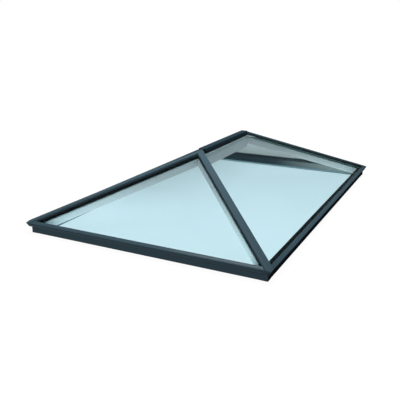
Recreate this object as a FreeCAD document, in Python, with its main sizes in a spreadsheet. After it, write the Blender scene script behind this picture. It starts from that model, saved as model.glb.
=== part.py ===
import FreeCAD, Part
import os
import Sketcher

doc = FreeCAD.newDocument("roof_lantern")

# Driving sizes, in millimetres and degrees.
SIZES = (
    ("frame_length", "1500", "base ring, outer face to outer face along the ridge"),
    ("frame_width", "990", "base ring, outer face to outer face across the ridge"),
    ("roof_pitch", "25", "slope of every pane"),
    ("glass_height", "43", "outer glass plane above the floor at the ring's outer face"),
    ("pane_thick", "4", "thickness of one pane"),
    ("cavity", "8", "gap between the two panes of a unit"),
    ("pane_foot", "3", "how far a pane runs below the datum line of its slope"),
    ("pane_lap", "10.5", "how far the panes run in under a hip cap"),
    ("pane_clear", "1", "gap between a pane and the web of the ridge beam"),
    ("pane_tip", "4", "half the blunt tip of an end pane"),
    ("edge_sealant", "1", "sealant between a unit's edge and its spacer"),
    ("spacer_width", "6.5", "width of the spacer frame"),
    ("ring_wall", "3", "wall of the base ring"),
    ("ring_front", "22", "height of the ring's outer wall"),
    ("ring_depth", "26", "ring, outer face to inner face"),
    ("flange_reach", "45", "ring, outer face to the edge of the fixing flange"),
    ("bed_thick", "1.5", "rubber under the inner panes"),
    ("bed_width", "4.5", "width of that rubber on a rafter"),
    ("bed_margin", "1", "that rubber set back from a rafter's side or the ring's inner face"),
    ("seal_thick", "3", "rubber between a cap and the outer panes"),
    ("seal_width", "3.7", "width of that rubber under a hip or ridge cap"),
    ("seal_margin", "1.3", "that rubber set back from a cap's flank"),
    ("seal_lip", "0.5", "that rubber beyond an eaves cap"),
    ("cap_top", "7.8", "top of the eaves cap above the glass"),
    ("cap_reach", "14.6", "eaves cap below the datum line"),
    ("cap_lap", "1.6", "eaves cap above the datum line"),
    ("cap_leg", "18.8", "front face of the eaves cap"),
    ("cap_wall", "2.5", "wall of the caps"),
    ("hip_width", "29", "width of a hip cap"),
    ("hip_top", "7.2", "top of a hip cap above the line where the glass planes meet"),
    ("ridge_width", "31", "width of the ridge cap"),
    ("ridge_rise", "14.2", "top of the ridge cap above the line where the long glass planes meet"),
    ("web_width", "5", "web of a rafter between the panes"),
    ("rafter_width", "23", "rafter below the glass"),
    ("rafter_side", "26", "upright side of a rafter"),
    ("rafter_keel", "2", "tapered lower part of a rafter"),
    ("beam_side", "31", "upright side of the ridge beam"),
    ("beam_keel", "15", "tapered lower part of the ridge beam"),
    ("keel_width", "16", "width of a rafter or beam at its lower edge"),
    ("cover_leg", "24", "leg of a corner cover"),
    ("cover_wall", "1.2", "thickness of a corner cover"),
    ("boss_back", "2", "back face of a corner boss inside the frame corner"),
    ("cut_gap", "0.2", "clearance where cut ends meet"),
    ("hole_radius", "2.75", "fixing hole in the flange"),
    ("hole_inset", "38", "fixing hole from the ring's outer face"),
    ("long_spacing", "1000", "outer fixing holes along a long side"),
    ("end_spacing", "500", "fixing holes along an end"),
)
# Sizes that follow from those above.
DERIVED = (
    ("hip_pitch", "=atan(tan(roof_pitch) / sqrt(2))", "slope of a hip"),
    ("hip_fall", "=tan(roof_pitch) / sqrt(2) * cos(hip_pitch)", "fall of the glass to each side of a hip"),
    ("unit_thick", "=2 * pane_thick + cavity", "thickness of a glazing unit"),
    ("apex_height", "=glass_height + frame_width / 2 * tan(roof_pitch)", "where the long glass planes meet"),
    ("ridge_top", "=apex_height + ridge_rise", "top of the ridge cap above the floor"),
    ("pane_gap", "=hip_width / 2 - pane_lap", "half the gap between two panes at a hip"),
    ("hip_run", "=frame_width / sqrt(2) / cos(hip_pitch)", "length of a hip line, frame corner to ridge"),
    ("ridge_half", "=(frame_length - frame_width) / 2", "half the distance between the hip meeting points"),
)

sheet = doc.addObject("Spreadsheet::Sheet", "dims")
for row, (alias, content, note) in enumerate(SIZES + DERIVED, 1):
    sheet.set("A%d" % row, note)
    sheet.set("B%d" % row, content)
    sheet.setAlias("B%d" % row, alias)
doc.recompute()

# Side name, turn about the upright axis, half the side's run, half the depth to the opposite side.
SIDES = (
    ("right", 0, "dims.frame_length / 2", "dims.frame_width / 2"),
    ("back", 90, "dims.frame_width / 2", "dims.frame_length / 2"),
    ("left", 180, "dims.frame_length / 2", "dims.frame_width / 2"),
    ("front", 270, "dims.frame_width / 2", "dims.frame_length / 2"),
)
# Corner name and the signs of its position along the ridge and across it.
CORNERS = (
    ("front_right", -1, -1),
    ("back_right", 1, -1),
    ("back_left", 1, 1),
    ("front_left", -1, 1),
)
TURN = {(-1, -1): 45, (1, -1): 135, (1, 1): 225, (-1, 1): 315}

# How far cutting outlines reach past the bars that they cut.
INWARD = 80
OUTWARD = 30
ASIDE = 60
BEYOND = 200

parts = []


def number(owner, text):
    """Value of an expression as a plain number."""
    result = owner.evalExpression(text)
    return float(getattr(result, "Value", result))


def place(item, x, y, z, yaw, pitch, roll):
    """Bind a placement to the sheet."""
    turn = "rotation(%s; %s; %s)" % (yaw, pitch, roll)
    item.setExpression("Placement", "placement(vector(%s; %s; %s); %s)" % (x, y, z, turn))


def place_side(item, yaw, depth, height, roll):
    """Put an item at the middle of a side, its second axis pointing into the frame."""
    place(item, "sin(%d) * %s" % (yaw, depth), "-cos(%d) * %s" % (yaw, depth), height, yaw, 0, roll)


def place_corner(item, sx, sy, height, pitch, turn):
    """Put an item at a frame corner, its first axis pointing to the ridge before the extra turn."""
    x = "%d * dims.frame_length / 2" % sx
    y = "%d * dims.frame_width / 2" % sy
    place(item, x, y, height, TURN[sx, sy] + turn, pitch, 0)


def new_body(label):
    """Empty body that becomes one named part."""
    made = doc.addObject("PartDesign::Body", label)
    made.Label = label
    parts.append(made)
    return made


def outline(sketch, corners):
    """Closed outline whose corners follow expressions."""
    first = sketch.GeometryCount
    points = [FreeCAD.Vector(number(sketch, x), number(sketch, y), 0) for x, y in corners]
    count = len(points)
    for k in range(count):
        sketch.addGeometry(Part.LineSegment(points[k], points[(k + 1) % count]), False)
    for k in range(count):
        sketch.addConstraint(Sketcher.Constraint("Coincident", first + k, 2, first + (k + 1) % count, 1))
    for k, (x, y) in enumerate(corners):
        for kind, text, at in (("DistanceX", x, points[k].x), ("DistanceY", y, points[k].y)):
            index = sketch.addConstraint(Sketcher.Constraint(kind, -1, 1, first + k, 1, at))
            sketch.setExpression("Constraints[%d]" % index, text)


def circle(sketch, x, y, radius):
    """Circle whose centre and radius follow expressions."""
    centre = FreeCAD.Vector(number(sketch, x), number(sketch, y), 0)
    size = number(sketch, radius)
    index = sketch.addGeometry(Part.Circle(centre, FreeCAD.Vector(0, 0, 1), size), False)
    for kind, text, at in (("DistanceX", x, centre.x), ("DistanceY", y, centre.y)):
        bound = sketch.addConstraint(Sketcher.Constraint(kind, -1, 1, index, 3, at))
        sketch.setExpression("Constraints[%d]" % bound, text)
    bound = sketch.addConstraint(Sketcher.Constraint("Radius", index, size))
    sketch.setExpression("Constraints[%d]" % bound, radius)


def sketch_in(body, name, role, lift="0"):
    """Sketch on one of the body's own planes, lifted along the plane's normal."""
    plane = [item for item in body.Origin.OriginFeatures if item.Role == role][0]
    sketch = body.newObject("Sketcher::SketchObject", name)
    sketch.AttachmentSupport = [(plane, "")]
    sketch.MapMode = "FlatFace"
    sketch.setExpression("AttachmentOffset.Base.z", lift)
    return sketch


def pad(body, sketch, length, both_ways=False):
    """Raise a sketch into a solid."""
    feature = body.newObject("PartDesign::Pad", sketch.Name + "_pad")
    feature.Profile = sketch
    feature.setExpression("Length", length)
    feature.SideType = "Symmetric" if both_ways else "One side"
    sketch.Visibility = False
    return feature


def cut_through(body, sketch):
    """Cut a sketch right through the body, both ways."""
    feature = body.newObject("PartDesign::Pocket", sketch.Name + "_cut")
    feature.Profile = sketch
    feature.SideType = "Symmetric"
    feature.Type = "ThroughAll"
    sketch.Visibility = False
    return feature


def sloped(u, n):
    """Section corner given up the slope and out of the glass, as inset and height expressions."""
    inset = "(%s) * cos(dims.roof_pitch) - (%s) * sin(dims.roof_pitch)" % (u, n)
    rise = "dims.glass_height + (%s) * sin(dims.roof_pitch) + (%s) * cos(dims.roof_pitch)" % (u, n)
    return inset, rise


def side_bar(label, side, section, hollow, back_off):
    """Bar of one section along a side, its ends cut parallel to the hips."""
    name, yaw, run, depth = side
    body = new_body(label + "_" + name)
    place_side(body, yaw, depth, "0", "0")
    profile = sketch_in(body, body.Name + "_section", "YZ_Plane")
    outline(profile, section)
    if hollow:
        outline(profile, hollow)
    pad(body, profile, "2 * (%s + %d)" % (run, OUTWARD), True)
    mitre = sketch_in(body, body.Name + "_mitre", "XY_Plane")
    for sign in (1, -1):
        outline(mitre, (
            ("%d * (%s - %s - %d)" % (sign, run, back_off, INWARD), "%d" % INWARD),
            ("%d * (%s - %s + %d)" % (sign, run, back_off, OUTWARD), "-%d" % OUTWARD),
            ("%d * (%s + %d)" % (sign, run, BEYOND), "-%d" % OUTWARD),
            ("%d * (%s + %d)" % (sign, run, BEYOND), "%d" % INWARD),
        ))
    cut_through(body, mitre)
    return body


def glass_seat(inset):
    """Height of the ring's sloped top at an inset expression."""
    below = "(dims.unit_thick + dims.bed_thick) / cos(dims.roof_pitch)"
    return "dims.glass_height - %s + (%s) * tan(dims.roof_pitch)" % (below, inset)


def make_ring(side):
    """Hollow base bar with an outer wall, a sloped glass seat and a fixing flange."""
    wall = "dims.ring_wall"
    inner = "dims.ring_depth - dims.ring_wall"
    skin = "dims.ring_wall / cos(dims.roof_pitch)"
    section = (
        ("0", "0"),
        ("dims.flange_reach", "0"),
        ("dims.flange_reach", wall),
        ("dims.ring_depth", wall),
        ("dims.ring_depth", glass_seat("dims.ring_depth")),
        (wall, glass_seat(wall)),
        (wall, "dims.ring_front"),
        ("0", "dims.ring_front"),
    )
    hollow = (
        (wall, wall),
        (inner, wall),
        (inner, glass_seat(inner) + " - " + skin),
        (wall, glass_seat(wall) + " - " + skin),
    )
    body = side_bar("ring", side, section, hollow, "dims.cut_gap / 2")
    holes = sketch_in(body, body.Name + "_holes", "XY_Plane")
    if side[1] % 180 == 0:
        spots = ("-dims.long_spacing / 2", "0", "dims.long_spacing / 2")
    else:
        spots = ("-dims.end_spacing / 2", "dims.end_spacing / 2")
    for spot in spots:
        circle(holes, spot, "dims.hole_inset", "dims.hole_radius")
    cut_through(body, holes)


def make_eaves_cap(side):
    """Folded cap over the lower edge of a unit, resting on the ring's outer wall."""
    out = "-dims.cap_reach"
    inside = "dims.cap_wall - dims.cap_reach"
    under = "dims.cap_top - dims.cap_wall"
    foot = "dims.cap_top - dims.cap_leg"
    section = (
        sloped(out, "dims.cap_top"),
        sloped("dims.cap_lap", "dims.cap_top"),
        sloped("dims.cap_lap", "dims.seal_thick"),
        sloped("dims.cap_lap - dims.cap_wall", "dims.seal_thick"),
        sloped("dims.cap_lap - dims.cap_wall", under),
        sloped(inside, under),
        sloped(inside, foot + " + dims.cap_wall"),
        ("0.6 * dims.ring_wall", "dims.ring_front + dims.cap_wall"),
        ("dims.ring_wall", "dims.ring_front"),
        ("0", "dims.ring_front"),
        sloped(out, foot),
    )
    side_bar("eaves_cap", side, section, None, "dims.hip_width / sqrt(2)")


def slope_outline(run, foot, clear, top):
    """Corners in a slope: foot line, two hip edges, top edge; clear and top are plan distances."""
    high = "(dims.frame_width / 2 - (%s)) / cos(dims.roof_pitch)" % top
    corners = []
    for sign, level in ((-1, foot), (1, foot), (1, high), (-1, high)):
        across = "%s - (%s) * cos(dims.roof_pitch) - (%s)" % (run, level, clear)
        corners.append(("%d * (%s)" % (sign, across), level))
    return corners


def slope_layer(label, side, low, high, edge, hole=None):
    """Flat layer in a slope between two depths; edge and hole give foot, hip and ridge clearance."""
    name, yaw, run, depth = side
    body = new_body(label + "_" + name)
    place_side(body, yaw, depth, "dims.glass_height", "dims.roof_pitch")
    shape = sketch_in(body, body.Name + "_outline", "XY_Plane", low)
    for foot, clear, ridge in ((edge, hole) if hole else (edge,)):
        top = ridge if yaw % 180 == 0 else clear + " + dims.pane_tip"
        outline(shape, slope_outline(run, foot, clear, top))
    pad(body, shape, "(%s) - (%s)" % (high, low))


def hip_clear(depth, across):
    """Plan distance from a hip for an edge that clears the hip's middle by a width at a depth."""
    return "((%s) * sin(dims.roof_pitch) + (%s) * sqrt(2))" % (depth, across)


def ridge_clear(depth, across):
    """Plan distance from the ridge for an edge that clears its middle by a width at a depth."""
    return "((%s) * sin(dims.roof_pitch) + (%s))" % (depth, across)


def make_unit(side):
    """Outer pane, spacer frame and inner pane of one side, with the rubber frames above and below."""
    web = "dims.web_width / 2 + dims.pane_clear"
    second = "(dims.pane_thick + dims.cavity)"
    bed = "(dims.unit_thick + dims.bed_thick)"
    narrow = "dims.spacer_width * sqrt(1 + cos(dims.roof_pitch) ^ 2)"
    foot = "-dims.pane_foot"
    slope_layer("outer_pane", side, "-dims.pane_thick", "0", (
        foot, hip_clear("dims.pane_thick", "dims.pane_gap"), ridge_clear("dims.pane_thick", web)))
    spacer_foot = foot + " + dims.edge_sealant"
    spacer_hip = hip_clear(second, "dims.pane_gap + dims.edge_sealant")
    spacer_ridge = ridge_clear(second, web + " + dims.edge_sealant")
    slope_layer("spacer", side, "-" + second, "-dims.pane_thick", (
        spacer_foot, spacer_hip, spacer_ridge), (
        spacer_foot + " + dims.spacer_width",
        spacer_hip + " + " + narrow,
        spacer_ridge + " + dims.spacer_width"))
    slope_layer("inner_pane", side, "-dims.unit_thick", "-" + second, (
        foot, hip_clear("dims.unit_thick", "dims.pane_gap"), ridge_clear("dims.unit_thick", web)))
    seal_hip = "dims.hip_width / 2 - dims.seal_margin"
    seal_ridge = "dims.ridge_width / 2 - dims.seal_margin"
    slope_layer("cap_seal", side, "0", "dims.seal_thick", (
        foot, hip_clear("0", seal_hip + " - dims.seal_width"), seal_ridge + " - dims.seal_width"), (
        "dims.cap_lap + dims.seal_lip", hip_clear("0", seal_hip), seal_ridge))
    seat = "(dims.ring_depth - dims.bed_margin - %s * sin(dims.roof_pitch)) / cos(dims.roof_pitch)" % bed
    bed_edge = "dims.rafter_width / 2 - dims.bed_margin"
    bed_start = bed_edge + " - dims.bed_width"
    slope_layer("bed_seal", side, "-" + bed, "-dims.unit_thick", (
        "0", hip_clear(bed, bed_start), ridge_clear(bed, bed_start)), (
        seat, hip_clear(bed, bed_edge), ridge_clear(bed, bed_edge)))


def cap_section(half, top, fall):
    """Inverted channel; fall gives the level of the flank's lower edge at a distance from the middle."""
    thin = "%s - dims.cap_wall" % half
    right = (
        (half, top),
        (half, fall % half),
        (thin, fall % thin),
        (thin, "%s - dims.cap_wall" % top),
    )
    return right + tuple(("-(%s)" % x, y) for x, y in reversed(right))


def rafter_section(bed, top, side, keel):
    """Web between the units, shoulders under them, upright sides and a tapered lower part."""
    web = "dims.web_width / 2"
    half = "dims.rafter_width / 2"
    right = (
        (web, top),
        (web, bed % web),
        (half, bed % half),
        (half, "%s - %s" % (bed % half, side)),
        ("dims.keel_width / 2", "%s - %s - %s" % (bed % half, side, keel)),
    )
    return right + tuple(("-(%s)" % x, y) for x, y in reversed(right))


def plan_sketch(body, name, lift="0"):
    """Level sketch in a body that slopes up along a hip."""
    sketch = sketch_in(body, name, "XY_Plane")
    turn = "rotation(0; dims.hip_pitch; 0)"
    shift = "vector((%s) * sin(dims.hip_pitch); 0; (%s) * cos(dims.hip_pitch))" % (lift, lift)
    sketch.setExpression("AttachmentOffset.Base.z", None)
    sketch.setExpression("AttachmentOffset", "placement(%s; %s)" % (shift, turn))
    return sketch


def cut_hip_ends(body, corner, start):
    """Point the lower end of a hip piece at a plan distance and mitre its upper end at the ridge line."""
    name, sx, sy = corner
    ends = plan_sketch(body, body.Name + "_ends")
    outline(ends, (
        (start, "0"),
        ("%s + %d" % (start, ASIDE), "%d" % ASIDE),
        ("-%d" % BEYOND, "%d" % ASIDE),
        ("-%d" % BEYOND, "-%d" % ASIDE),
        ("%s + %d" % (start, ASIDE), "-%d" % ASIDE),
    ))
    lean = -sx * sy * ASIDE
    top = "dims.frame_width / sqrt(2) - dims.cut_gap / 2"
    outline(ends, (
        ("%s - %d" % (top, ASIDE), "%d" % -lean),
        ("%s + %d" % (top, ASIDE), "%d" % lean),
        ("%s + %d" % (top, BEYOND), "%d" % lean),
        ("%s + %d" % (top, BEYOND), "%d" % -lean),
    ))
    cut_through(body, ends)


def hip_bar(label, corner, section, start):
    """Bar of one section along a hip, pointed at its foot and mitred at the ridge."""
    name, sx, sy = corner
    body = new_body(label + "_" + name)
    place_corner(body, sx, sy, "dims.glass_height", "-dims.hip_pitch", 0)
    profile = sketch_in(body, body.Name + "_section", "YZ_Plane", "-%d" % INWARD)
    outline(profile, section)
    pad(body, profile, "dims.hip_run + 2 * %d" % INWARD)
    cut_hip_ends(body, corner, start)
    return body


def level_foot(body):
    """Cut the foot of a rafter level, just above the ring's flange."""
    foot = sketch_in(body, body.Name + "_foot", "XZ_Plane")
    drop = "dims.ring_wall + dims.cut_gap - dims.glass_height"
    level = "(" + drop + " - %d * sin(dims.hip_pitch)) / cos(dims.hip_pitch)"
    outline(foot, (
        ("0", level % 0),
        ("%d" % BEYOND, level % BEYOND),
        ("%d" % BEYOND, "-%d" % BEYOND),
        ("0", "-%d" % BEYOND),
    ))
    cut_through(body, foot)


HIP_FALL = "dims.seal_thick * sqrt(1 + dims.hip_fall ^ 2) - dims.hip_fall * (%s)"
NOSE = "(dims.cap_reach * cos(dims.roof_pitch) + dims.cap_top * sin(dims.roof_pitch))"


def make_hip(corner):
    """Cap and rafter of one hip."""
    section = cap_section("dims.hip_width / 2", "dims.hip_top", HIP_FALL)
    hip_bar("hip_cap", corner, section, "-%s * sqrt(2)" % NOSE)
    depth = "(dims.unit_thick + dims.bed_thick) * sqrt(1 + dims.hip_fall ^ 2)"
    bed = "-" + depth + " - dims.hip_fall * (%s)"
    section = rafter_section(bed, "dims.hip_top - dims.cap_wall", "dims.rafter_side", "dims.rafter_keel")
    level_foot(hip_bar("hip_rafter", corner, section, "(dims.ring_depth + dims.cut_gap) * sqrt(2)"))


def boss_outline(reach):
    """Plan of a corner boss whose two front faces stand out from the ring by a reach."""
    half = "(dims.hip_width / 2 - dims.cut_gap / 2)"
    tip = "-(%s) * sqrt(2)" % reach
    return (
        (tip, "0"),
        ("%s + %s" % (tip, half), half),
        ("dims.boss_back", half),
        ("dims.boss_back", "-" + half),
        ("%s + %s" % (tip, half), "-" + half),
    )


def make_boss(corner):
    """Block that closes the corner under a hip cap, in line with the leaning fronts of the eaves caps."""
    name, sx, sy = corner
    body = new_body("corner_boss_" + name)
    place_corner(body, sx, sy, "dims.glass_height", "-dims.hip_pitch", 0)
    drop = "dims.cap_top - dims.cap_leg"
    foot = "-dims.cap_reach * sin(dims.roof_pitch) + (%s) * cos(dims.roof_pitch)" % drop
    low = plan_sketch(body, body.Name + "_low", foot)
    outline(low, boss_outline("dims.cap_reach * cos(dims.roof_pitch) + (%s) * sin(dims.roof_pitch)" % drop))
    nose = "-dims.cap_reach * sin(dims.roof_pitch) + dims.cap_top * cos(dims.roof_pitch)"
    high = plan_sketch(body, body.Name + "_high", nose)
    outline(high, boss_outline(NOSE))
    loft = body.newObject("PartDesign::AdditiveLoft", body.Name + "_loft")
    loft.Profile = low
    loft.Sections = [high]
    loft.Ruled = True
    half = "dims.hip_width / 2"
    thin = "dims.hip_width / 2 - dims.cap_wall"
    right = (
        ("%d" % ASIDE, "%d" % ASIDE),
        ("%d" % ASIDE, HIP_FALL % half),
        (half, HIP_FALL % half),
        (thin, HIP_FALL % thin),
        (thin, "dims.hip_top - dims.cap_wall"),
    )
    notch = sketch_in(body, body.Name + "_notch", "YZ_Plane")
    outline(notch, right + tuple(("-(%s)" % x, y) for x, y in reversed(right)))
    cut_through(body, notch)


def make_cover(corner):
    """Thin angle over a corner of the base ring."""
    name, sx, sy = corner
    body = new_body("corner_cover_" + name)
    place_corner(body, sx, sy, "0", "0", -45)
    angle = sketch_in(body, body.Name + "_angle", "XY_Plane")
    thin = "-dims.cover_wall"
    leg = "dims.cover_leg"
    outline(angle, ((thin, thin), (leg, thin), (leg, "0"), ("0", "0"), ("0", leg), (thin, leg)))
    pad(body, angle, "dims.ring_front - dims.cut_gap")


def make_ridge():
    """Cap and beam of the ridge."""
    level = "dims.apex_height - (%s) * tan(dims.roof_pitch)"
    cap = new_body("ridge_cap")
    section = sketch_in(cap, "ridge_cap_section", "YZ_Plane")
    fall = "dims.apex_height + dims.seal_thick / cos(dims.roof_pitch) - (%s) * tan(dims.roof_pitch)"
    outline(section, cap_section("dims.ridge_width / 2", "dims.ridge_top", fall))
    pad(cap, section, "2 * (dims.ridge_half - dims.hip_width / sqrt(2) - dims.cut_gap)", True)
    beam = new_body("ridge_beam")
    section = sketch_in(beam, "ridge_beam_section", "YZ_Plane")
    depth = "(dims.unit_thick + dims.bed_thick) / cos(dims.roof_pitch)"
    bed = level + " - " + depth
    top = "dims.ridge_top - dims.cap_wall"
    outline(section, rafter_section(bed, top, "dims.beam_side", "dims.beam_keel"))
    pad(beam, section, "2 * (dims.ridge_half + %d)" % ASIDE, True)
    ends = sketch_in(beam, "ridge_beam_ends", "XY_Plane")
    start = "dims.ridge_half - dims.rafter_width / sqrt(2) - dims.cut_gap"
    for sign in (1, -1):
        outline(ends, (
            ("%d * (%s)" % (sign, start), "0"),
            ("%d * (%s + %d)" % (sign, start, ASIDE), "%d" % ASIDE),
            ("%d * (%s + %d)" % (sign, start, BEYOND), "%d" % ASIDE),
            ("%d * (%s + %d)" % (sign, start, BEYOND), "-%d" % ASIDE),
            ("%d * (%s + %d)" % (sign, start, ASIDE), "-%d" % ASIDE),
        ))
    cut_through(beam, ends)
    web_ends = sketch_in(beam, "ridge_web_ends", "XZ_Plane")
    stop = "dims.ridge_half - dims.hip_width / sqrt(2) - dims.cut_gap"
    for sign in (1, -1):
        outline(web_ends, (
            ("%d * (%s)" % (sign, stop), "dims.apex_height"),
            ("%d * (%s)" % (sign, stop), "dims.ridge_top"),
            ("%d * (%s + %d)" % (sign, stop, BEYOND), "dims.ridge_top"),
            ("%d * (%s + %d)" % (sign, stop, BEYOND), "dims.apex_height"),
        ))
    cut_through(beam, web_ends)


for side in SIDES:
    make_ring(side)
    make_eaves_cap(side)
    make_unit(side)
for corner in CORNERS:
    make_hip(corner)
    make_boss(corner)
    make_cover(corner)
make_ridge()

doc.recompute()
os.makedirs("parts", exist_ok=True)
for item in parts:
    if "Invalid" in item.State or "Error" in item.State:
        raise RuntimeError(item.Label + " did not recompute")
    if item.Shape.isNull() or not item.Shape.isValid() or len(item.Shape.Solids) != 1:
        raise RuntimeError(item.Label + " is not one valid solid")
    item.Shape.exportStep("parts/%s.step" % item.Label)
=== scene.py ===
import math

import bmesh
import bpy
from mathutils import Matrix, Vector


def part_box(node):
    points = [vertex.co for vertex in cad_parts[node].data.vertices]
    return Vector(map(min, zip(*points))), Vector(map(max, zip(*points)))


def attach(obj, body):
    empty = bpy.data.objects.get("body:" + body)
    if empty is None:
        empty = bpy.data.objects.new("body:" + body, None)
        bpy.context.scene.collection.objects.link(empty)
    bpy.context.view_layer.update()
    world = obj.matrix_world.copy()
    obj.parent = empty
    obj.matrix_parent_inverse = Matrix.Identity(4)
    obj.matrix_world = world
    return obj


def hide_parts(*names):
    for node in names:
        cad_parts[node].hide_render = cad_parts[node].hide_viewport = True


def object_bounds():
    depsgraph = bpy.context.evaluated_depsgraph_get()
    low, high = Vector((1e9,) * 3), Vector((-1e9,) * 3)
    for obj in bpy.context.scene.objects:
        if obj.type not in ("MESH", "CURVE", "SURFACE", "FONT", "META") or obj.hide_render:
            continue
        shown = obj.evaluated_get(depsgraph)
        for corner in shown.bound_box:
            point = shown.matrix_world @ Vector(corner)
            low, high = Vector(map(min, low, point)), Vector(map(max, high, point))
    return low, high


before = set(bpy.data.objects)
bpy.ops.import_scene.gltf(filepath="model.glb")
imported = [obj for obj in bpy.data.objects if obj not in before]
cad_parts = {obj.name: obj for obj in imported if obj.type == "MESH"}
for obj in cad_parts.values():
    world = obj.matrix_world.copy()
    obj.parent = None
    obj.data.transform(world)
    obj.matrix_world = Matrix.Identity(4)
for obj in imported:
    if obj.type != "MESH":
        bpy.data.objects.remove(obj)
CAD_BOX = [list(corner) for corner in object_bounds()]

bl_info = {
    "name": "Roof lantern",
    "version": (1, 0, 0),
    "blender": (4, 5, 0),
    "location": "View3D > Sidebar > Lantern",
    "description": "Finishes a hipped roof lantern: coated frame, glazing units, seals and studio",
    "category": "Object",
}

# Outward direction of each side of the frame.
SIDES = {
    "right": Vector((0, -1, 0)),
    "back": Vector((1, 0, 0)),
    "left": Vector((0, 1, 0)),
    "front": Vector((-1, 0, 0)),
}
CORNERS = ("front_right", "back_right", "back_left", "front_left")
# Axes, by their place in a point.
X, Y, Z = range(3)

# Distances in from the overall outline to the ring's inner wall, the tops of the eaves caps and the open well.
RING_INSET = 0.0215
CAP_INSET = 0.004
WELL_INSET = 0.03
# Height of the flange, and how far above the ring the tape under the panes turns pale.
FLANGE_TOP = 0.004
TAPE_CHANGE = 0.003
# How far below its top a long unit's spacer turns pale.
PALE_TOP_DEPTH = 0.016
# Heights over which painted shade turns the pale inside coat greyer, and places on Y over which the painted
# light on the back bar's wall fades into its painted shade.
INSIDE_SHADE_FADE = (0.02, 0.18)
WALL_LIGHT_FADE = (-0.45, 0.0)
# Rows of breather holes across a spacer's wall, how far they stand off it and how thick their discs are.
HOLE_ROWS = (0.4, 0.6)
HOLE_STAND = 0.00005
HOLE_DEPTH = 0.0002
# Flat sides that make up a round lip or hole.
ROUND_SIDES = 8
# Share of the gap between spacer and pane that the sealant fills.
SEALANT_FILL = 0.8
# Welding distance of a solid's loose triangles, and the angles that part flat, bevelled and smooth edges.
WELD = 0.00001
FLAT_ANGLE = math.radians(0.5)
BEVEL_ANGLE = math.radians(20)
SMOOTH_ANGLE = math.radians(32)


def tone(red, green, blue):
    """A colour read as 0 to 255 on a screen, as the linear values that materials take."""
    shares = [level / 255 for level in (red, green, blue)]
    return tuple(s / 12.92 if s <= 0.04045 else ((s + 0.055) / 1.055) ** 2.4 for s in shares)


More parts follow.
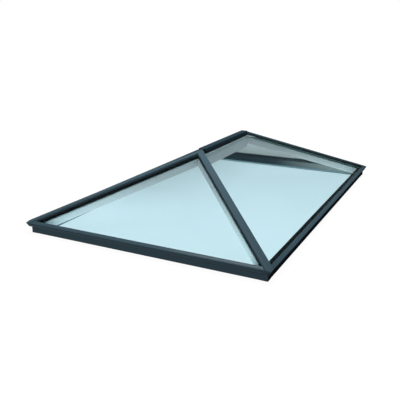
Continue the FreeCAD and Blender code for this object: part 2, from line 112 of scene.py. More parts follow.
class LanternFinish(bpy.types.PropertyGroup):
    """Sizes of the small parts and colours of the finishes."""

    coat_colour: bpy.props.FloatVectorProperty(
        name="Coat", description="Powder coat of the base ring, the eaves caps and the corners",
        subtype="COLOR", size=3, min=0, max=1, default=tone(64, 84, 94))
    # Painted light: the hip caps take a lighter copy of the coat, standing for the light that falls on them.
    lit_hip_colour: bpy.props.FloatVectorProperty(
        name="Hip coat", description="Powder coat of the hip caps",
        subtype="COLOR", size=3, min=0, max=1, default=tone(69, 90, 100))
    # Painted shade: the ridge cap takes a darker copy of the coat, standing for the shade on it.
    ridge_shade_colour: bpy.props.FloatVectorProperty(
        name="Ridge coat", description="Powder coat of the ridge cap",
        subtype="COLOR", size=3, min=0, max=1, default=tone(45, 62, 71))
    # Painted shade: the ring's inner faces take a dark copy of the coat, standing for the shade inside the
    # ring.
    ring_inside_shade_colour: bpy.props.FloatVectorProperty(
        name="Ring inside", description="Inner faces of the base ring",
        subtype="COLOR", size=3, min=0, max=1, default=tone(27, 36, 41))
    # Painted light on the inner face of the ring's back bar, fading along Y into its painted shade.
    ring_wall_light_colour: bpy.props.FloatVectorProperty(
        name="Ring glow", description="Inner face of the back bar of the ring where the floor lights it most",
        subtype="COLOR", size=3, min=0, max=1, default=tone(138, 140, 136))
    flange_colour: bpy.props.FloatVectorProperty(
        name="Flange", description="Fixing flange inside the base ring",
        subtype="COLOR", size=3, min=0, max=1, default=tone(120, 140, 145))
    inside_colour: bpy.props.FloatVectorProperty(
        name="Inside coat", description="Pale powder coat of the rafters",
        subtype="COLOR", size=3, min=0, max=1, default=tone(232, 230, 227))
    # Painted shade: the inside coat at the ridge, greyer where less light reaches it.
    inside_ridge_shade_colour: bpy.props.FloatVectorProperty(
        name="Inside coat at the ridge",
        description="The same coat at the ridge, where less light reaches it",
        subtype="COLOR", size=3, min=0, max=1, default=tone(174, 167, 166))
    # Painted shade: the two back rafters take a greyer copy of the pale inside coat.
    back_shade_colour: bpy.props.FloatVectorProperty(
        name="Back rafter coat", description="Feet of the two rafters at the back, where the coat is greyer",
        subtype="COLOR", size=3, min=0, max=1, default=tone(210, 203, 199))
    # Painted shade: the ridge beam and the tops of the back rafters take a greyer copy of the pale inside
    # coat.
    beam_shade_colour: bpy.props.FloatVectorProperty(
        name="Beam coat", description="Pale powder coat of the ridge beam and the tops of the back rafters",
        subtype="COLOR", size=3, min=0, max=1, default=tone(156, 147, 145))
    rubber_colour: bpy.props.FloatVectorProperty(
        name="Rubber", description="Seals and edge sealant",
        subtype="COLOR", size=3, min=0, max=1, default=tone(42, 49, 53))
    tape_colour: bpy.props.FloatVectorProperty(
        name="Bed tape", description="Pale tape under the inner panes",
        subtype="COLOR", size=3, min=0, max=1, default=tone(196, 197, 194))
    spacer_colour: bpy.props.FloatVectorProperty(
        name="Spacer", description="Spacer bars of the two end units, and tape on the ring",
        subtype="COLOR", size=3, min=0, max=1, default=tone(20, 25, 27))
    # Painted light: the long units' spacers take a lighter colour than the end units' spacers, standing for
    # the light they catch.
    side_spacer_lit_colour: bpy.props.FloatVectorProperty(
        name="Side spacer", description="Spacer bars of the two long units",
        subtype="COLOR", size=3, min=0, max=1, default=tone(84, 104, 101))
    # A paler colour on the top of the long units' spacers, along the ridge.
    spacer_top_colour: bpy.props.FloatVectorProperty(
        name="Spacer top", description="Bare spacer bars along the ridge",
        subtype="COLOR", size=3, min=0, max=1, default=tone(190, 193, 192))
    glass_tint: bpy.props.FloatVectorProperty(
        name="Glass tint", description="Share of light that one pane lets through",
        subtype="COLOR", size=3, min=0, max=1, default=(0.738, 0.869, 0.906))
    outer_index: bpy.props.FloatProperty(
        name="Outer glass index", description="Refraction of an outer pane with its low-reflection coating",
        default=1.03, min=1, max=2)
    inner_index: bpy.props.FloatProperty(
        name="Inner glass index", description="Refraction of an inner pane with the same coating",
        default=1.03, min=1, max=2)
    end_gloss: bpy.props.FloatProperty(
        name="End gloss", description="Clear coat on the sloped tops of the two end eaves caps",
        subtype="FACTOR", default=0.22, min=0, max=1)
    edge_round: bpy.props.FloatProperty(
        name="Edge rounding", description="Radius on the edges of the extruded pieces",
        subtype="DISTANCE", unit="LENGTH", default=0.0007)
    lip_radius: bpy.props.FloatProperty(
        name="Seal lip", description="Radius of the rubber lip beside a cap",
        subtype="DISTANCE", unit="LENGTH", default=0.0011)
    lip_inset: bpy.props.FloatProperty(
        name="Seal lip inset", description="Distance of the lip in from the seal's edge",
        subtype="DISTANCE", unit="LENGTH", default=0.0018)
    hole_pitch: bpy.props.FloatProperty(
        name="Hole pitch", description="Spacing of the breather holes in a spacer",
        subtype="DISTANCE", unit="LENGTH", default=0.010)
    hole_radius: bpy.props.FloatProperty(
        name="Hole radius", description="Radius of a breather hole in a spacer",
        subtype="DISTANCE", unit="LENGTH", default=0.0008)


class LanternStudio(bpy.types.PropertyGroup):
    """Camera, floor and light."""

    eye: bpy.props.FloatVectorProperty(
        name="Camera place", description="Where the camera stands",
        subtype="TRANSLATION", unit="LENGTH", size=3, default=(-2.29817, -1.03323, 0.79145))
    heading: bpy.props.FloatProperty(
        name="Heading", description="Turn of the camera about the upright axis",
        subtype="ANGLE", unit="ROTATION", default=math.radians(-63.186))
    dip: bpy.props.FloatProperty(
        name="Dip", description="Angle of the camera below the horizon",
        subtype="ANGLE", unit="ROTATION", default=math.radians(17.604))
    lens: bpy.props.FloatProperty(
        name="Lens", description="Focal length on a 36 mm sensor", default=50, min=1)
    floor_colour: bpy.props.FloatVectorProperty(
        name="Floor", description="Floor as it lights the object",
        subtype="COLOR", size=3, min=0, max=1, default=(0.12, 0.12, 0.12))
    floor_glow: bpy.props.FloatProperty(
        name="Floor glow", description="Share of the floor's white that no shadow takes away",
        subtype="FACTOR", default=0.93, min=0, max=1)
    well_glow: bpy.props.FloatProperty(
        name="Well glow", description="The same share for the floor seen through the panes",
        subtype="FACTOR", default=0.9, min=0, max=1)
    # Painted shade on the floor seen through the panes, in the far left of the well.
    well_painted_shade: bpy.props.FloatProperty(
        name="Well dusk", description="How much less bright the floor shows in the far left of the well",
        default=0.23, min=0)
    surround: bpy.props.FloatVectorProperty(
        name="Surround", description="Warm grey that the floor round the ring shows through the panes",
        subtype="COLOR", size=3, min=0, max=2, default=(1.05, 0.66, 0.56))
    # Painted shade: the floor shows darker in a reflection.
    mirrored_floor: bpy.props.FloatVectorProperty(
        name="Mirrored floor", description="The same floor in a reflection",
        subtype="COLOR", size=3, min=0, max=1, default=(0.6, 0.68, 0.7))
    ambient: bpy.props.FloatProperty(
        name="Ambient", description="Light from all round", default=0.07, min=0)
    ceiling: bpy.props.FloatProperty(
        name="Ceiling", description="How bright a gloss shows the studio overhead", default=0.06, min=0)
    top_power: bpy.props.FloatProperty(
        name="Top lamp", description="Wide lamp overhead", subtype="POWER", unit="POWER", default=53)
    front_power: bpy.props.FloatProperty(
        name="Front lamp", description="Low lamp before the front end",
        subtype="POWER", unit="POWER", default=51)
    table_power: bpy.props.FloatProperty(
        name="Light table", description="Panel under the light well",
        subtype="POWER", unit="POWER", default=7.4)


class Wire:
    """An output of a node, on which sums are written as plain expressions."""

    def __init__(self, net, socket):
        self.net = net
        self.socket = socket

    def math(self, operation, first, second):
        return self.net.node("ShaderNodeMath", {"operation": operation}, {0: first, 1: second})

    def __add__(self, other):
        return self.math("ADD", self, other)

    __radd__ = __add__

    def __sub__(self, other):
        return self.math("SUBTRACT", self, other)

    def __rsub__(self, other):
        return self.math("SUBTRACT", other, self)

    def __mul__(self, other):
        return self.math("MULTIPLY", self, other)

    __rmul__ = __mul__


class Net:
    """A node tree whose nodes are all made by one method."""

    def __init__(self, tree):
        self.tree = tree

    def node(self, kind, settings=None, sockets=None, out=0):
        """Make a node: its settings first, then the values or wires of its sockets."""
        made = self.tree.nodes.new(kind)
        for key, value in (settings or {}).items():
            if key == "stops":
                self.set_stops(made.color_ramp, value)
            else:
                setattr(made, key, value)
        for key, value in (sockets or {}).items():
            if isinstance(value, Wire):
                self.tree.links.new(value.socket, made.inputs[key])
            else:
                made.inputs[key].default_value = value
        return Wire(self, made.outputs[out]) if made.outputs else None

    def grey(self, level):
        """Grey of a level that varies."""
        return self.node("ShaderNodeCombineColor", None, {0: level, 1: level, 2: level})

    @staticmethod
    def set_stops(ramp, stops):
        """Give a ramp its stops, each a place and a grey level."""
        while len(ramp.elements) < len(stops):
            ramp.elements.new(1)
        for element, (place, level) in zip(ramp.elements, stops):
            element.position = place
            element.color = (level, level, level, 1)


class Finish(Net):
    """One procedural material."""

    def __init__(self, name):
        self.material = bpy.data.materials.new(name)
        self.material.use_nodes = True
        super().__init__(self.material.node_tree)
        self.tree.nodes.clear()
        self.place = self.node("ShaderNodeTexCoord", out="Object")

    def noise(self, scale, detail=3.0):
        """Noise over the piece, with its scale in bumps per metre."""
        return self.node("ShaderNodeTexNoise", None, {"Vector": self.place, "Scale": scale, "Detail": detail})

    def ramp(self, value, *stops):
        """Value pulled through the stops of a ramp."""
        return self.node("ShaderNodeValToRGB", {"stops": stops}, {"Fac": value})

    def mix(self, share, first, second):
        """Colour between two others."""
        return self.node("ShaderNodeMix", {"data_type": "RGBA"}, {0: share, 6: first, 7: second}, out=2)

    def along(self, axis):
        """Place on an axis."""
        return self.node("ShaderNodeSeparateXYZ", None, {"Vector": self.place}, out=axis)

    def slope(self, axis, low, high, end=1.0):
        """Rise from nothing to an end value between two places on an axis."""
        return self.node("ShaderNodeMapRange", None, {
            "Value": self.along(axis), "From Min": low, "From Max": high, "To Min": 0.0, "To Max": end})

    def over(self, height):
        """One above a height, else nothing."""
        return self.node("ShaderNodeMath", {"operation": "GREATER_THAN"}, {0: self.along(Z), 1: height})

    def within(self, margin):
        """One inside the overall outline drawn in by a margin, else nothing."""
        share = 1
        for axis in (X, Y):
            size = self.node("ShaderNodeMath", {"operation": "ABSOLUTE"}, {0: self.along(axis)})
            share = share * self.node("ShaderNodeMath", {"operation": "LESS_THAN"}, {
                0: size, 1: CAD_BOX[1][axis] - margin})
        return share

    def bump(self, height, strength, distance):
        """Normal of a surface with small relief."""
        return self.node("ShaderNodeBump", None, {
            "Height": height, "Strength": strength, "Distance": distance})

    def surface(self, **sockets):
        """End the tree in a principled surface."""
        named = {key.replace("_", " ").title().replace("Ior", "IOR"): value for key, value in sockets.items()}
        shader = self.node("ShaderNodeBsdfPrincipled", None, named)
        self.node("ShaderNodeOutputMaterial", None, {"Surface": shader})
        return self.material


def shade(colour, factor):
    """A colour made lighter or darker, with the alpha that sockets ask for."""
    return tuple(part * factor for part in colour) + (1.0,)


def powder_coat(name, colour, gloss=0.0, flange=None, wall=None, wall_light_end=None):
    """Powder coat with faint clouding, fine pebbled relief and a little dust.

    A bar of the ring also has a flange, and an inner wall in painted shade that may turn to painted light
    toward one end.
    """
    finish = Finish(name)
    base = finish.mix(finish.noise(5.0, 4.0), shade(colour, 0.94), shade(colour, 1.06))
    speck = finish.ramp(finish.noise(900.0, 1.0), (0.60, 0.0), (0.72, 1.0))
    base = finish.mix(speck * 0.10, base, shade(colour, 1.5))
    if wall is not None:
        inside = shade(wall, 1)
        # Painted light on the back bar's inner wall, fading along Y.
        if wall_light_end is not None:
            inside = finish.mix(finish.slope(Y, *WALL_LIGHT_FADE), shade(wall_light_end, 1), inside)
        base = finish.mix(finish.within(RING_INSET), base, shade(flange, 1))
        base = finish.mix(finish.within(RING_INSET) * finish.over(FLANGE_TOP), base, inside)
    return finish.surface(
        base_color=base, roughness=finish.noise(18.0, 4.0) * 0.12 + 0.49, specular_ior_level=0.0,
        coat_weight=finish.within(CAP_INSET) * gloss if gloss else 0.0, coat_roughness=0.22,
        normal=finish.bump(finish.noise(1400.0, 2.0), 0.12, 0.0004))


def inside_coat(name, colour, ridge_shade_colour):
    """Pale satin coat, with painted shade that turns it a little greyer toward the ridge."""
    finish = Finish(name)
    base = finish.mix(finish.slope(Z, *INSIDE_SHADE_FADE), shade(colour, 1), shade(ridge_shade_colour, 1))
    base = finish.node("ShaderNodeMix", {"data_type": "RGBA", "blend_type": "MULTIPLY"}, {
        0: 1.0, 6: base, 7: finish.grey(finish.noise(5.0, 4.0) * 0.06 + 0.97)}, out=2)
    return finish.surface(
        base_color=base, roughness=finish.noise(18.0, 4.0) * 0.12 + 0.44, specular_ior_level=0.0,
        normal=finish.bump(finish.noise(1400.0, 2.0), 0.12, 0.0004))


def rubber(name, colour):
    """Matt rubber with a fine extruded grain."""
    finish = Finish(name)
    grain = finish.noise(700.0)
    bloom = finish.noise(9.0, 4.0)
    base = finish.mix(bloom, shade(colour, 0.75), shade(colour, 1.35))
    return finish.surface(
        base_color=base, roughness=finish.noise(30.0) * 0.2 + 0.5, specular_ior_level=0.05,
        normal=finish.bump(grain, 0.2, 0.0003))


def bed_tape(colour, ring_colour, change):
    """Foam tape under a pane, pale along the hips and the ridge and black on the ring."""
    finish = Finish("bed_tape")
    grain = finish.noise(500.0)
    pale = finish.mix(grain, shade(colour, 0.92), shade(colour, 1.05))
    black = finish.mix(grain, shade(ring_colour, 0.8), shade(ring_colour, 1.2))
    return finish.surface(
        base_color=finish.mix(finish.over(change), black, pale), roughness=finish.noise(30.0) * 0.2 + 0.5,
        specular_ior_level=0.05, normal=finish.bump(grain, 0.2, 0.0003))


def glass(name, tint, index):
    """Clear blue pane with a faint roller wave and traces of dust."""
    finish = Finish(name)
    cloud = finish.noise(2.5)
    base = finish.mix(cloud, shade(tint, 0.985), shade(tint, 1.015))
    smear = finish.ramp(finish.noise(7.0, 5.0), (0.45, 0.0), (0.75, 0.02))
    wave = finish.noise(6.0, 1.0)
    return finish.surface(
        base_color=base, roughness=smear, ior=index, transmission_weight=1.0,
        normal=finish.bump(wave, 0.05, 0.001))


def spacer_bar(name, colour, top_colour, change):
    """Satin spacer bar with a fine drawn grain, in a paler colour above a height."""
    finish = Finish(name)
    grain = finish.noise(600.0, 4.0)
    dark = finish.mix(grain, shade(colour, 0.85), shade(colour, 1.15))
    paler = finish.mix(grain, shade(top_colour, 0.9), shade(top_colour, 1.06))
    return finish.surface(
        base_color=finish.mix(finish.over(change), dark, paler), roughness=finish.noise(80.0) * 0.15 + 0.4,
        specular_ior_level=0.1, normal=finish.bump(grain, 0.1, 0.0002))


def plain_mesh(piece):
    """Replace a piece's live modifiers by the mesh that they make."""
    graph = bpy.context.evaluated_depsgraph_get()
    mesh = bpy.data.meshes.new_from_object(piece.evaluated_get(graph))
    piece.modifiers.clear()
    piece.data = mesh


def add_mesh(name, mesh):
    """Put a mesh in the scene as an object of its own."""
    made = bpy.data.objects.new(name, mesh)
    bpy.context.scene.collection.objects.link(made)
    return made


def settle(piece):
    """Fix a finished piece to the lantern."""
    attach(piece, "root")


def rounded_piece(node, material, radius):
    """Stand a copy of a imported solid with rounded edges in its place."""
    shape = bmesh.new()
    shape.from_mesh(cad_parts[node].data)
    bmesh.ops.remove_doubles(shape, verts=shape.verts, dist=WELD)
    bmesh.ops.dissolve_limit(shape, angle_limit=FLAT_ANGLE, verts=shape.verts, edges=shape.edges)
    sharp = [e for e in shape.edges if len(e.link_faces) == 2 and e.calc_face_angle() > BEVEL_ANGLE]
    bmesh.ops.bevel(
        shape, geom=sharp, offset=radius, offset_type="OFFSET", segments=2, profile=0.5,
        affect="EDGES", clamp_overlap=True)
    mesh = bpy.data.meshes.new(node + "_rounded")
    shape.to_mesh(mesh)
    shape.free()
    mesh.materials.append(material)
    mesh.shade_smooth()
    mesh.set_sharp_from_angle(angle=SMOOTH_ANGLE)
    piece = add_mesh(node + "_rounded", mesh)
    settle(piece)
    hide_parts(node)


def coat_node(node, material):
    """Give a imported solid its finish."""
    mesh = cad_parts[node].data
    mesh.materials.clear()
    mesh.materials.append(material)


def slope_normal(side):
    """Direction straight out of a side's glass."""
    biggest = max(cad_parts["outer_pane_" + side].data.polygons, key=lambda face: face.area)
    return biggest.normal * (1 if biggest.normal.z > 0 else -1)


def outlines(layer, side):
    """Outlines of a side's flat layer, lower face then upper: four corners each, the outer one first."""
    seen = {}
    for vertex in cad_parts[layer + side].data.vertices:
        seen.setdefault(tuple(round(c, 5) for c in vertex.co), vertex.co.copy())
    normal = slope_normal(side)
    along = Vector((-SIDES[side].y, SIDES[side].x, 0))
    points = list(seen.values())
    depths = [p.dot(normal) for p in points]
    middle = (min(depths) + max(depths)) / 2
    loops = []
    for upper in (False, True):
        level = [p for p, depth in zip(points, depths) if (depth > middle) is upper]
        wings = [sorted((p for p in level if p.dot(along) * sign > 0), key=lambda p: p.z) for sign in (-1, 1)]
        for k in range(len(wings[0]) // 2):
            loops.append([wings[0][k], wings[1][k], wings[1][-1 - k], wings[0][-1 - k]])
    return loops


def inset(loop, distance):
    """Outline moved inwards by a distance, its corners kept mitred."""
    centre = sum(loop, Vector()) / len(loop)
    moved = []
    for k, corner in enumerate(loop):
        before = (corner - loop[k - 1]).normalized()
        after = (loop[(k + 1) % len(loop)] - corner).normalized()
        normal = before.cross(after).normalized()
        first = normal.cross(before)
        second = normal.cross(after)
        mitre = (first + second) / (1 + first.dot(second))
        if mitre.dot(centre - corner) < 0:
            mitre = -mitre
        moved.append(corner + mitre * distance)
    return moved


def line_piece(name, loops):
    """Piece that holds closed lines for a node tree to follow."""
    points = [corner for loop in loops for corner in loop]
    edges = []
    start = 0
    for loop in loops:
        count = len(loop)
        edges += [(start + k, start + (k + 1) % count) for k in range(count)]
        start += count
    mesh = bpy.data.meshes.new(name)
    mesh.from_pydata(points, edges, [])
    return add_mesh(name, mesh)


class Growth(Net):
    """A geometry node tree with named inputs."""

    def __init__(self, name, **inputs):
        super().__init__(bpy.data.node_groups.new(name, "GeometryNodeTree"))
        face = self.tree.interface
        face.new_socket("Geometry", in_out="INPUT", socket_type="NodeSocketGeometry")
        face.new_socket("Geometry", in_out="OUTPUT", socket_type="NodeSocketGeometry")
        for label, kind in inputs.items():
            face.new_socket(label, in_out="INPUT", socket_type=kind)
        entry = self.node("NodeGroupInput").socket.node
        self.inputs = {socket.name: Wire(self, socket) for socket in entry.outputs if socket.name}

    def end(self, geometry):
        """Close the tree with real meshes that carry the material."""
        solid = self.node("GeometryNodeRealizeInstances", None, {"Geometry": geometry})
        painted = self.node("GeometryNodeSetMaterial", None, {
            "Geometry": solid, "Material": self.inputs["Material"]})
        self.node("NodeGroupOutput", None, {"Geometry": painted})

    def apply(self, piece, **values):
        """Grow the tree on a piece and keep the plain mesh."""
        modifier = piece.modifiers.new(self.tree.name, "NODES")
        modifier.node_group = self.tree
        for item in self.tree.interface.items_tree:
            if item.in_out == "INPUT" and item.name in values:
                modifier[item.identifier] = values[item.name]
        plain_mesh(piece)
        if not piece.data.polygons:
            raise RuntimeError(piece.name + " came out empty")


def lip_tree():
    """Round rubber lip along a line."""
    tree = Growth("seal_lip", Radius="NodeSocketFloat", Material="NodeSocketMaterial")
    line = tree.node("GeometryNodeMeshToCurve", None, {"Mesh": tree.inputs["Geometry"]})
    ring = tree.node("GeometryNodeCurvePrimitiveCircle", None, {
        "Resolution": ROUND_SIDES, "Radius": tree.inputs["Radius"]})
    tree.end(tree.node("GeometryNodeCurveToMesh", None, {"Curve": line, "Profile Curve": ring}))
    return tree


def breather_tree():
    """Row of small round breather holes along a spacer's wall."""
    tree = Growth(
        "breather_holes", Pitch="NodeSocketFloat", Radius="NodeSocketFloat", Depth="NodeSocketFloat",
        Normal="NodeSocketVector", Material="NodeSocketMaterial")
    line = tree.node("GeometryNodeMeshToCurve", None, {"Mesh": tree.inputs["Geometry"]})
    spots = tree.node("GeometryNodeCurveToPoints", {"mode": "LENGTH"}, {
        "Curve": line, "Length": tree.inputs["Pitch"]})
    tangent = Wire(tree, spots.socket.node.outputs["Tangent"])
    facing = tree.node("ShaderNodeVectorMath", {"operation": "CROSS_PRODUCT"}, {
        0: tree.inputs["Normal"], 1: tangent})
    turn = tree.node("FunctionNodeAlignEulerToVector", {"axis": "Z"}, {"Vector": facing})
    disc = tree.node("GeometryNodeMeshCylinder", {"fill_type": "NGON"}, {
        "Vertices": ROUND_SIDES, "Radius": tree.inputs["Radius"], "Depth": tree.inputs["Depth"]})
    tree.end(tree.node("GeometryNodeInstanceOnPoints", None, {
        "Points": spots, "Instance": disc, "Rotation": turn}))
    return tree


class LANTERN_OT_frame(bpy.types.Operator):
    """Round and coat the base ring, the caps and the corner pieces"""

    bl_idname = "lantern.frame"
    bl_label = "Frame and caps"

    def execute(self, context):
        finish = context.scene.lantern_finish
        coat = powder_coat("frame_coat", finish.coat_colour)
        end_coat = powder_coat("end_coat", finish.coat_colour, gloss=finish.end_gloss)
        hip_coat = powder_coat("hip_coat", finish.lit_hip_colour)
        ridge_coat = powder_coat("ridge_coat", finish.ridge_shade_colour)
        # The ring's inner walls carry painted shade.
        inside = {"flange": finish.flange_colour, "wall": finish.ring_inside_shade_colour}
        ring_coat = powder_coat("ring_coat", finish.coat_colour, **inside)
        # The back bar's inner wall adds painted light toward -Y.
        back_coat = powder_coat(
            "back_ring_coat", finish.coat_colour, wall_light_end=finish.ring_wall_light_colour, **inside)
        for side, outward in SIDES.items():
            bar_coat = back_coat if side == "back" else ring_coat
            rounded_piece("ring_" + side, bar_coat, finish.edge_round)
            rounded_piece("eaves_cap_" + side, end_coat if outward.x else coat, finish.edge_round)
        for node in [kind + corner for kind in ("corner_boss_", "corner_cover_") for corner in CORNERS]:
            rounded_piece(node, coat, finish.edge_round)
        for corner in CORNERS:
            rounded_piece("hip_cap_" + corner, hip_coat, finish.edge_round)
        rounded_piece("ridge_cap", ridge_coat, finish.edge_round)
        return {"FINISHED"}


class LANTERN_OT_inside(bpy.types.Operator):
    """Round and coat the rafters and the ridge beam"""

    bl_idname = "lantern.inside"
    bl_label = "Rafters and beam"

    def execute(self, context):
        finish = context.scene.lantern_finish
        # Painted shade: the pale coats turn greyer toward the ridge, and the back rafters and the beam take
        # greyer copies.
        coat = inside_coat("pale_inside_coat", finish.inside_colour, finish.inside_ridge_shade_colour)
        back_coat = inside_coat("pale_back_coat", finish.back_shade_colour, finish.beam_shade_colour)
        beam_coat = inside_coat("pale_beam_coat", finish.beam_shade_colour, finish.beam_shade_colour)
        for corner in CORNERS:
            rafter_coat = back_coat if corner.startswith("back") else coat
            rounded_piece("hip_rafter_" + corner, rafter_coat, finish.edge_round)
        rounded_piece("ridge_beam", beam_coat, finish.edge_round)
        return {"FINISHED"}


class LANTERN_OT_glass(bpy.types.Operator):
    """Finish the panes"""

    bl_idname = "lantern.glass"
    bl_label = "Panes"

    def execute(self, context):
        finish = context.scene.lantern_finish
        panes = {
            "outer_pane_": glass("outer_glass", finish.glass_tint, finish.outer_index),
            "inner_pane_": glass("inner_glass", finish.glass_tint, finish.inner_index),
        }
        for side in SIDES:
            for kind, material in panes.items():
                coat_node(kind + side, material)
                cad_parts[kind + side].visible_shadow = False
        return {"FINISHED"}


class LANTERN_OT_spacers(bpy.types.Operator):
    """Finish the spacers and add their breather holes and the edge sealant"""

    bl_idname = "lantern.spacers"
    bl_label = "Spacers"

    def execute(self, context):
        finish = context.scene.lantern_finish
        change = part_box("spacer_right")[1][2] - PALE_TOP_DEPTH
        paler = spacer_bar("side_spacer_bar", finish.side_spacer_lit_colour, finish.spacer_top_colour, change)
        plain = spacer_bar("end_spacer_bar", finish.spacer_colour, finish.spacer_colour, change)
        dark = bpy.data.materials["seal_rubber"]
        tree = breather_tree()
        for side, outward in SIDES.items():
            coat_node("spacer_" + side, paler if outward.y else plain)
            loops = outlines("spacer_", side)
            wall = [inset([a.lerp(b, share) for a, b in zip(loops[1], loops[3])], HOLE_STAND)
                    for share in HOLE_ROWS]
            holes = line_piece("breather_holes_" + side, wall)
            tree.apply(
                holes, Pitch=finish.hole_pitch, Radius=finish.hole_radius, Depth=HOLE_DEPTH,
                Normal=slope_normal(side), Material=dark)
            settle(holes)
            self.seal_edge(side, loops, dark)
        return {"FINISHED"}

    @staticmethod
    def seal_edge(side, spacer, material):
        """Sealant that fills a unit's edge outside the spacer, from pane to pane."""
        above = outlines("outer_pane_", side)[0]
        below = outlines("inner_pane_", side)[1]
        rings = (spacer[0], [a.lerp(b, SEALANT_FILL) for a, b in zip(spacer[0], below)],
                 [a.lerp(b, SEALANT_FILL) for a, b in zip(spacer[2], above)], spacer[2])
        points = [corner for ring in rings for corner in ring]
        faces = []
        for k in range(4):
            near, far = 4 * k, 4 * ((k + 1) % 4)
            for corner in range(4):
                following = (corner + 1) % 4
                faces.append((near + corner, near + following, far + following, far + corner))
        mesh = bpy.data.meshes.new("edge_sealant_" + side)
        mesh.from_pydata(points, [], faces)
        shape = bmesh.new()
        shape.from_mesh(mesh)
        bmesh.ops.recalc_face_normals(shape, faces=shape.faces)
        shape.to_mesh(mesh)
        shape.free()
        mesh.materials.append(material)
        settle(add_mesh("edge_sealant_" + side, mesh))


class LANTERN_OT_seals(bpy.types.Operator):
    """Finish the rubber seals and add the lips that show beside the caps"""

    bl_idname = "lantern.seals"
    bl_label = "Seals"

    def execute(self, context):
        finish = context.scene.lantern_finish
        black = rubber("seal_rubber", finish.rubber_colour)
        ring_top = max(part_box("ring_" + side)[1][2] for side in SIDES)
        tape = bed_tape(finish.tape_colour, finish.spacer_colour, ring_top + TAPE_CHANGE)
        tree = lip_tree()
        for side in SIDES:
            coat_node("cap_seal_" + side, black)
            coat_node("bed_seal_" + side, tape)
            loops = outlines("cap_seal_", side)
            lift = slope_normal(side) * finish.lip_radius
            path = [corner + lift for corner in inset(loops[1], finish.lip_inset)]
            lip = line_piece("seal_lip_" + side, [path])
            tree.apply(lip, Radius=finish.lip_radius, Material=black)
            settle(lip)
        return {"FINISHED"}


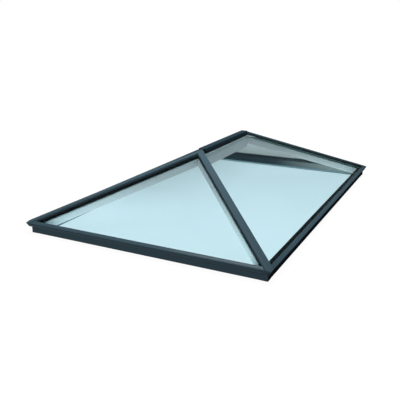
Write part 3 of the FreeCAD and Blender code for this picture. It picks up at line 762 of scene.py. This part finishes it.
class LANTERN_OT_stage(bpy.types.Operator):
    """Make the floor, the soft light and the camera"""

    bl_idname = "lantern.stage"
    bl_label = "Studio"

    def execute(self, context):
        studio = context.scene.lantern_studio
        self.floor(studio)
        self.sky(context.scene, studio)
        middle = Vector((0, 0, 0.1))
        self.lamp(
            "top_lamp", Vector((0.1, -0.15, 2.1)), middle,
            width=1.6, depth=1.6, power=studio.top_power, mirrored=True)
        self.lamp(
            "front_lamp", Vector((-4.0, 0.5, 0.8)), middle,
            width=1.6, depth=1.2, power=studio.front_power)
        self.lamp(
            "light_table", Vector((0, 0, 0.004)), Vector((0, 0, 1)),
            width=1.44, depth=0.93, power=studio.table_power)
        self.camera(context.scene, studio)
        context.scene.view_settings.view_transform = "Standard"
        return {"FINISHED"}

    @staticmethod
    def rays(net):
        """Rays from the camera, mirrored rays, and all that show the background, through glass too."""
        path = net.node("ShaderNodeLightPath")
        kinds = {socket.name: Wire(net, socket) for socket in path.socket.node.outputs}
        seen = camera = kinds["Is Camera Ray"]
        for kind in ("Is Glossy Ray", "Is Transmission Ray"):
            seen = net.node("ShaderNodeMath", {"operation": "MAXIMUM"}, {0: seen, 1: kinds[kind]})
        return camera, kinds["Is Reflection Ray"], seen

    @staticmethod
    def well(finish, studio, mirrored):
        """Floor as the panes show it, with painted light and shade: brightest at the front, painted shade
        toward the back and far left, a dim warm grey outside the ring and a plain painted shade in a
        reflection.
        """
        # Painted shade: the floor under the panes darkens toward the back and the far left, and brightens a
        # little toward the right.
        dusk = finish.slope(Y, 0.05, 0.42, studio.well_painted_shade) * finish.slope(X, -0.4, 0.0)
        right_gain = finish.slope(Y, 0.1, -0.3, 0.015)
        back_loss = finish.slope(X, -0.35, 0.45, 0.15)
        level = right_gain - back_loss - dusk + 1.0
        outside = finish.mix(mirrored, shade(studio.surround, 1), shade(studio.mirrored_floor, 1))
        return finish.mix(finish.within(WELL_INSET), outside, finish.grey(level))

    def floor(self, studio):
        """Wide pale floor that shows white, keeps a soft shadow and is clear from below."""
        half, drop = 40, 0.0002
        mesh = bpy.data.meshes.new("floor")
        corners = [(-half, -half), (half, -half), (half, half), (-half, half)]
        mesh.from_pydata([(x, y, -drop) for x, y in corners], [], [(0, 1, 2, 3)])
        finish = Finish("floor_white")
        camera, mirrored, seen = self.rays(finish)
        reach = finish.node("ShaderNodeVectorMath", {"operation": "LENGTH"}, {0: finish.place}, out="Value")
        away = finish.node("ShaderNodeMapRange", None, {
            "Value": reach, "From Min": 0.9, "From Max": 2.2, "To Min": studio.floor_glow, "To Max": 1.0})
        share = camera * away + (1 - camera) * studio.well_glow
        colour = finish.mix(camera, self.well(finish, studio, mirrored), (1.03, 1.03, 1.03, 1))
        bounce = finish.node("ShaderNodeBsdfDiffuse", None, {"Color": shade(studio.floor_colour, 1)})
        lit = finish.node("ShaderNodeBsdfDiffuse", None, {"Color": (1, 1, 1, 1)})
        glow = finish.node("ShaderNodeEmission", None, {"Color": colour, "Strength": 1.0})
        white = finish.node("ShaderNodeMixShader", None, {0: share, 1: lit, 2: glow})
        top = finish.node("ShaderNodeMixShader", None, {0: seen, 1: bounce, 2: white})
        below = finish.node("ShaderNodeNewGeometry", out="Backfacing")
        clear = finish.node("ShaderNodeBsdfTransparent")
        both = finish.node("ShaderNodeMixShader", None, {0: below, 1: top, 2: clear})
        finish.node("ShaderNodeOutputMaterial", None, {"Surface": both})
        mesh.materials.append(finish.material)
        floor = add_mesh("floor", mesh)

    def sky(self, scene, studio):
        """White world, dark overhead for a gloss, that adds a little light from all round."""
        scene.world = bpy.data.worlds.new("studio")
        scene.world.use_nodes = True
        net = Net(scene.world.node_tree)
        net.tree.nodes.clear()
        place = net.node("ShaderNodeTexCoord")
        up = net.node("ShaderNodeSeparateXYZ", None, {"Vector": place}, out=Z)
        mirrored, seen = self.rays(net)[1:]
        dark = net.node("ShaderNodeMapRange", None, {
            "Value": up, "From Min": 0.05, "From Max": 0.4, "To Min": 0.0, "To Max": 1 - studio.ceiling})
        shown = net.grey(1 - mirrored * dark)
        light = net.node("ShaderNodeBackground", None, {
            "Color": (1, 1, 1, 1), "Strength": studio.ambient})
        white = net.node("ShaderNodeBackground", None, {"Color": shown, "Strength": 1.0})
        both = net.node("ShaderNodeMixShader", None, {0: seen, 1: light, 2: white})
        net.node("ShaderNodeOutputWorld", None, {"Surface": both})

    @staticmethod
    def lamp(name, place, target, width, depth, power, mirrored=False):
        """Soft rectangular lamp that isn't seen itself, and shows in a gloss only if it is mirrored."""
        data = bpy.data.lights.new(name, "AREA")
        data.shape = "RECTANGLE"
        data.size = width
        data.size_y = depth
        data.energy = power
        lamp = bpy.data.objects.new(name, data)
        lamp.location = place
        lamp.rotation_euler = (target - place).to_track_quat("-Z", "Y").to_euler()
        lamp.visible_camera = False
        lamp.visible_glossy = mirrored
        lamp.visible_transmission = False
        bpy.context.scene.collection.objects.link(lamp)

    @staticmethod
    def camera(scene, studio):
        """Camera at the viewing angle of the reference view."""
        data = bpy.data.cameras.new("camera")
        data.lens = studio.lens
        data.sensor_width = 36
        eye = bpy.data.objects.new("camera", data)
        eye.location = studio.eye
        eye.rotation_euler = (math.pi / 2 - studio.dip, 0, studio.heading)
        scene.collection.objects.link(eye)
        scene.camera = eye


class LANTERN_PT_panel(bpy.types.Panel):
    """Sidebar with the lantern's settings and the buttons that build it"""

    bl_idname = "LANTERN_PT_panel"
    bl_label = "Roof lantern"
    bl_space_type = "VIEW_3D"
    bl_region_type = "UI"
    bl_category = "Lantern"

    def draw(self, context):
        for group in (context.scene.lantern_finish, context.scene.lantern_studio):
            box = self.layout.box()
            for key in group.bl_rna.properties.keys():
                if key not in ("rna_type", "name"):
                    box.prop(group, key)
        for operator in OPERATORS:
            self.layout.operator(operator.bl_idname)


OPERATORS = (
    LANTERN_OT_frame,
    LANTERN_OT_inside,
    LANTERN_OT_glass,
    LANTERN_OT_seals,
    LANTERN_OT_spacers,
    LANTERN_OT_stage,
)
CLASSES = (LanternFinish, LanternStudio) + OPERATORS + (LANTERN_PT_panel,)


def register():
    for cls in CLASSES:
        bpy.utils.register_class(cls)
    bpy.types.Scene.lantern_finish = bpy.props.PointerProperty(type=LanternFinish)
    bpy.types.Scene.lantern_studio = bpy.props.PointerProperty(type=LanternStudio)


def unregister():
    del bpy.types.Scene.lantern_studio
    del bpy.types.Scene.lantern_finish
    for cls in reversed(CLASSES):
        bpy.utils.unregister_class(cls)


def main():
    register()
    bpy.ops.lantern.frame()
    bpy.ops.lantern.inside()
    bpy.ops.lantern.glass()
    bpy.ops.lantern.seals()
    bpy.ops.lantern.spacers()
    bpy.ops.lantern.stage()


if __name__ == "__main__":
    main()
